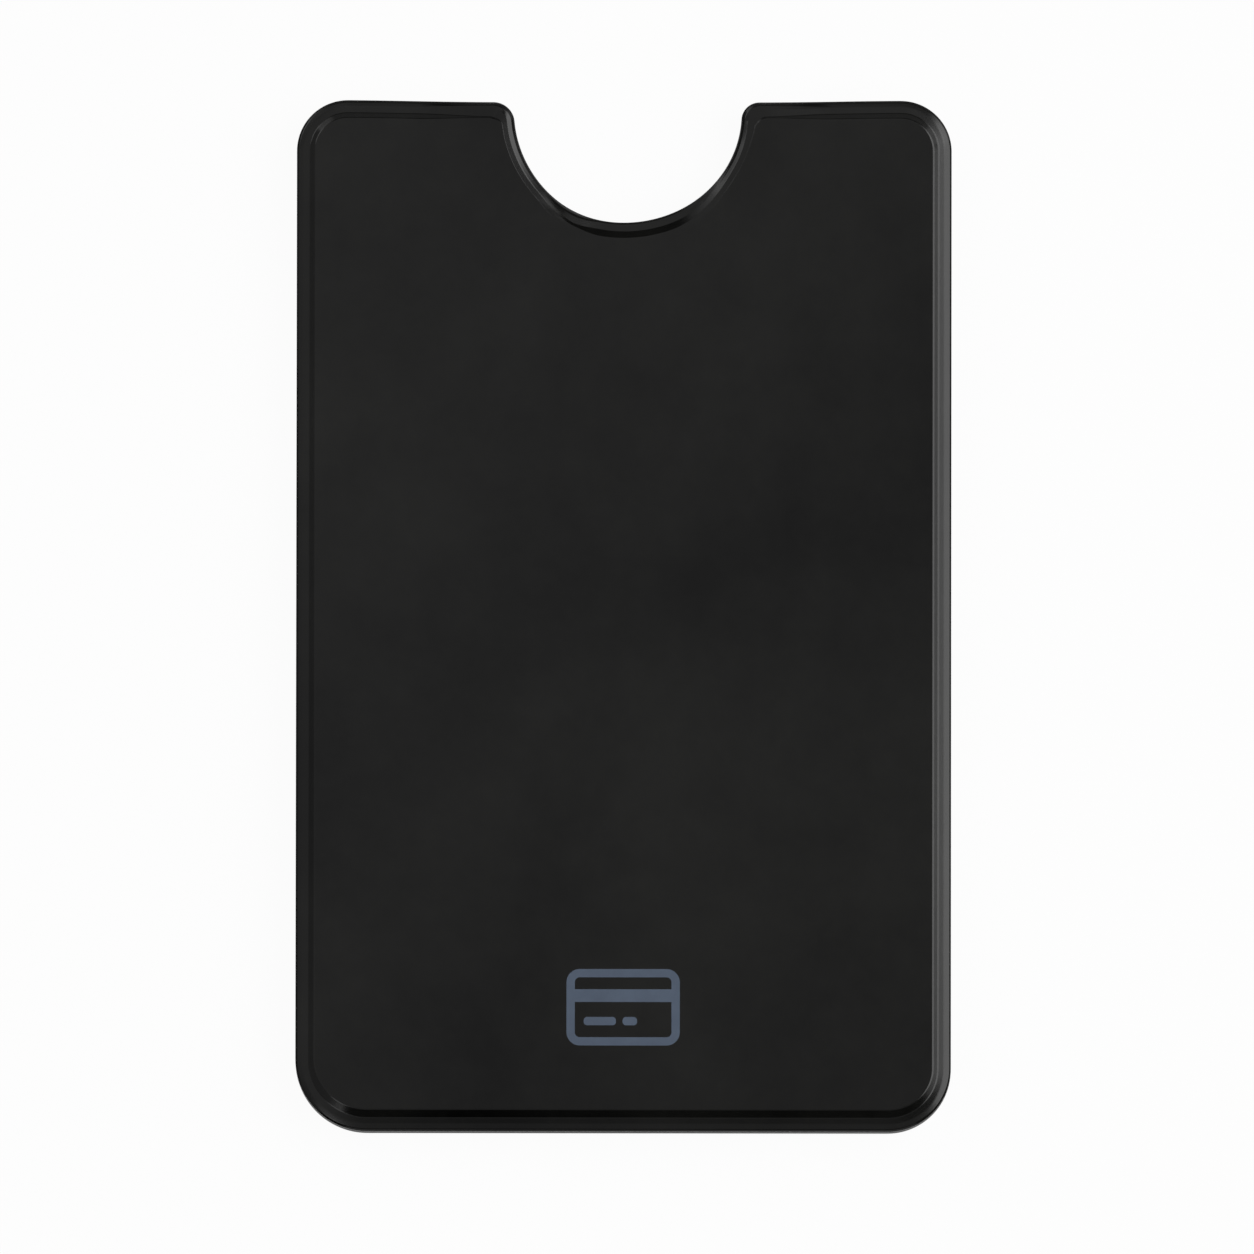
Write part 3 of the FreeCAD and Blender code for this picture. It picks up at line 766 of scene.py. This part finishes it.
bpy.ops.mesh.primitive_plane_add(size=TABLE_SIZE, location=(0, 0, TABLE_HEIGHT))
table = bpy.context.object
table.name = "white_table"
table_white = bpy.data.materials.new("white table")
table_white.use_nodes = True
tree = table_white.node_tree
diffuse = tree.nodes["Principled BSDF"]
diffuse.inputs["Base Color"].default_value = TABLE_COLOUR
diffuse.inputs["Roughness"].default_value = 0.9
diffuse.inputs["Specular IOR Level"].default_value = 0.0
dress(table, table_white)
print("table:", TABLE_SIZE, "m wide,", round(-TABLE_HEIGHT / MM, 2), "mm under the sleeve")


# %% What sees the table's own light
def larger(first, second):
    """The larger of two numbers."""
    node = tree.nodes.new("ShaderNodeMath")
    node.operation = "MAXIMUM"
    tree.links.new(first, node.inputs[0])
    tree.links.new(second, node.inputs[1])
    return node.outputs["Value"]


WHITE_SHARE = 0.955
path = add_node(tree, "ShaderNodeLightPath")
seen = larger(path.outputs["Is Camera Ray"], path.outputs["Is Glossy Ray"])
seen = larger(seen, path.outputs["Is Transmission Ray"])
share = tree.nodes.new("ShaderNodeMath")
share.operation = "MULTIPLY"
share.inputs[1].default_value = WHITE_SHARE
tree.links.new(seen, share.inputs[0])
print("own light of the table, as a share:", WHITE_SHARE)


# %% White from above, clear from below
def blend(amount, first, second):
    """Two shaders mixed by an amount of the second."""
    node = tree.nodes.new("ShaderNodeMixShader")
    tree.links.new(amount, node.inputs["Fac"])
    tree.links.new(first, node.inputs[1])
    tree.links.new(second, node.inputs[2])
    return node.outputs["Shader"]


glow = add_node(tree, "ShaderNodeEmission", Strength=1.0)
clear = add_node(tree, "ShaderNodeBsdfTransparent")
side = add_node(tree, "ShaderNodeNewGeometry")
lit = blend(share.outputs["Value"], diffuse.outputs["BSDF"], glow.outputs["Emission"])
faced = blend(side.outputs["Backfacing"], lit, clear.outputs["BSDF"])
tree.links.new(faced, tree.nodes["Material Output"].inputs["Surface"])
print("table material:", len(tree.nodes), "nodes")

# %% [markdown]
# ## The light
#
# A black satin object is lit by what it reflects: a face shows whatever stands at twice its own slope. One bright sky
# would turn every face the same grey. So each lamp is placed by the direction that it comes from, and is meant for
# the faces that look that way. Where no lamp stands, the step at the bottom of the notch and the one along the closed
# end stay black.

# %% Lamps by direction
def softbox(name, tilt, turn, distance, width, height, radiance, shape="RECTANGLE"):
    """Area lamp; tilt is its angle from straight above, turn its compass angle from +X towards +Y, in degrees."""
    a, b = math.radians(tilt), math.radians(turn)
    place = distance * Vector((math.sin(a) * math.cos(b), math.sin(a) * math.sin(b), math.cos(a)))
    data = bpy.data.lights.new(name, "AREA")
    data.shape = shape
    data.size, data.size_y = width, height
    area = width * height * (math.pi / 4 if shape == "ELLIPSE" else 1)
    data.energy = radiance * math.pi * area
    lamp = bpy.data.objects.new(name, data)
    lamp.location = place
    lamp.rotation_euler = place.to_track_quat("Z", "Y").to_euler()
    lamp.visible_camera = False
    bpy.context.scene.collection.objects.link(lamp)
    print(f"{name}: {data.energy:.2f} W")


# %% [markdown]
# ### The panel and the right side
#
# The flat panel sees only what is overhead: a dim ceiling, a wider glow round it, and a near sheen that brightens the
# upper left. The bright lines down the right side are a large round softbox with a softer glow about it, and a small
# one carries them round the upper right corner.

# %% Ceiling and right softbox
softbox("ceiling", 5, 130, 1.2, 1.0, 0.8, 0.065)
softbox("ceiling glow", 15, 130, 1.2, 1.25, 0.95, 0.18)
softbox("sheen", 18.7, 153, 0.53, 0.6, 0.313, 0.13)
softbox("right softbox", 46, 6, 1.0, 1.14, 1.06, 1.6, "ELLIPSE")
softbox("right softbox glow", 47, 5, 1.0, 1.46, 1.14, 0.95, "ELLIPSE")
softbox("upper right glow", 26, 36, 1.0, 0.20, 0.20, 1.1)

# %% [markdown]
# ### Fills and small lamps
#
# Weak fills stand on the left, behind the mouth, beyond the closed end and over both shoulders, so that the rim is
# grey there and not black. Small stronger lamps draw the short lines of light at the corners and in the notch.

# %% Fills
softbox("left fill", 57, 180, 1.1, 2.2, 0.89, 0.24)
softbox("mouth fill", 73, 90, 1.1, 2.2, 0.43, 0.21)
softbox("end fill", 27, 270, 1.1, 0.9, 0.46, 0.24)
softbox("low end fill", 77, 275, 1.1, 1.0, 0.25, 0.45)
softbox("right shoulder fill", 56, 42, 1.1, 0.40, 0.90, 0.20)
softbox("left shoulder fill", 56, 130, 1.1, 0.40, 0.90, 0.30)

# %% Small lamps
softbox("upper left lamp", 72, 127, 1.0, 0.44, 0.28, 0.42)
softbox("notch lamp", 52, 146, 1.0, 0.34, 0.46, 1.15)
softbox("low right lamp", 77, 32, 1.0, 0.44, 0.20, 0.9)
softbox("gap fill", 28, 60, 1.1, 0.26, 0.36, 0.14)
softbox("mouth rim fill", 31, 85, 1.1, 0.40, 0.16, 0.10)
softbox("lower left lamp", 42, 236, 1.0, 0.20, 0.50, 1.4)

# %% Dim room
ROOM_STRENGTH = 0.01
world = bpy.data.worlds.new("dim room")
bpy.context.scene.world = world
world.use_nodes = True
world.node_tree.nodes["Background"].inputs["Color"].default_value = (1, 1, 1, 1)
world.node_tree.nodes["Background"].inputs["Strength"].default_value = ROOM_STRENGTH
print("room strength:", ROOM_STRENGTH)

# %% [markdown]
# ## The camera
#
# The picture was taken from far above with a long lens, a few degrees towards the closed end, so that a thin line of
# that side shows. The width of the picture is 113 mm at the sleeve. A short lens close by could frame it as well, but
# it would draw the near face larger than the far one.

# %% Long lens from above
DISTANCE, FIELD, TILT, ROLL = 4.7, 0.11292, 4.3, 0.08
AIM = Vector((0.00030, -0.00108, 0.004))
camera_data = bpy.data.cameras.new("camera")
camera_data.sensor_width = 36.0
camera_data.lens = camera_data.sensor_width * DISTANCE / FIELD
camera_data.clip_start, camera_data.clip_end = 0.05, 30.0
camera = bpy.data.objects.new("camera", camera_data)
lean_back = Matrix.Rotation(math.radians(TILT), 4, "X")
camera.matrix_world = (
    Matrix.Translation(AIM) @ lean_back @ Matrix.Translation((0, 0, DISTANCE))
    @ Matrix.Rotation(math.radians(ROLL), 4, "Z")
)
bpy.context.scene.collection.objects.link(camera)
bpy.context.scene.camera = camera
bpy.context.scene.view_settings.view_transform = "Standard"
print("camera at mm:", [round(c / MM) for c in camera.matrix_world.translation])
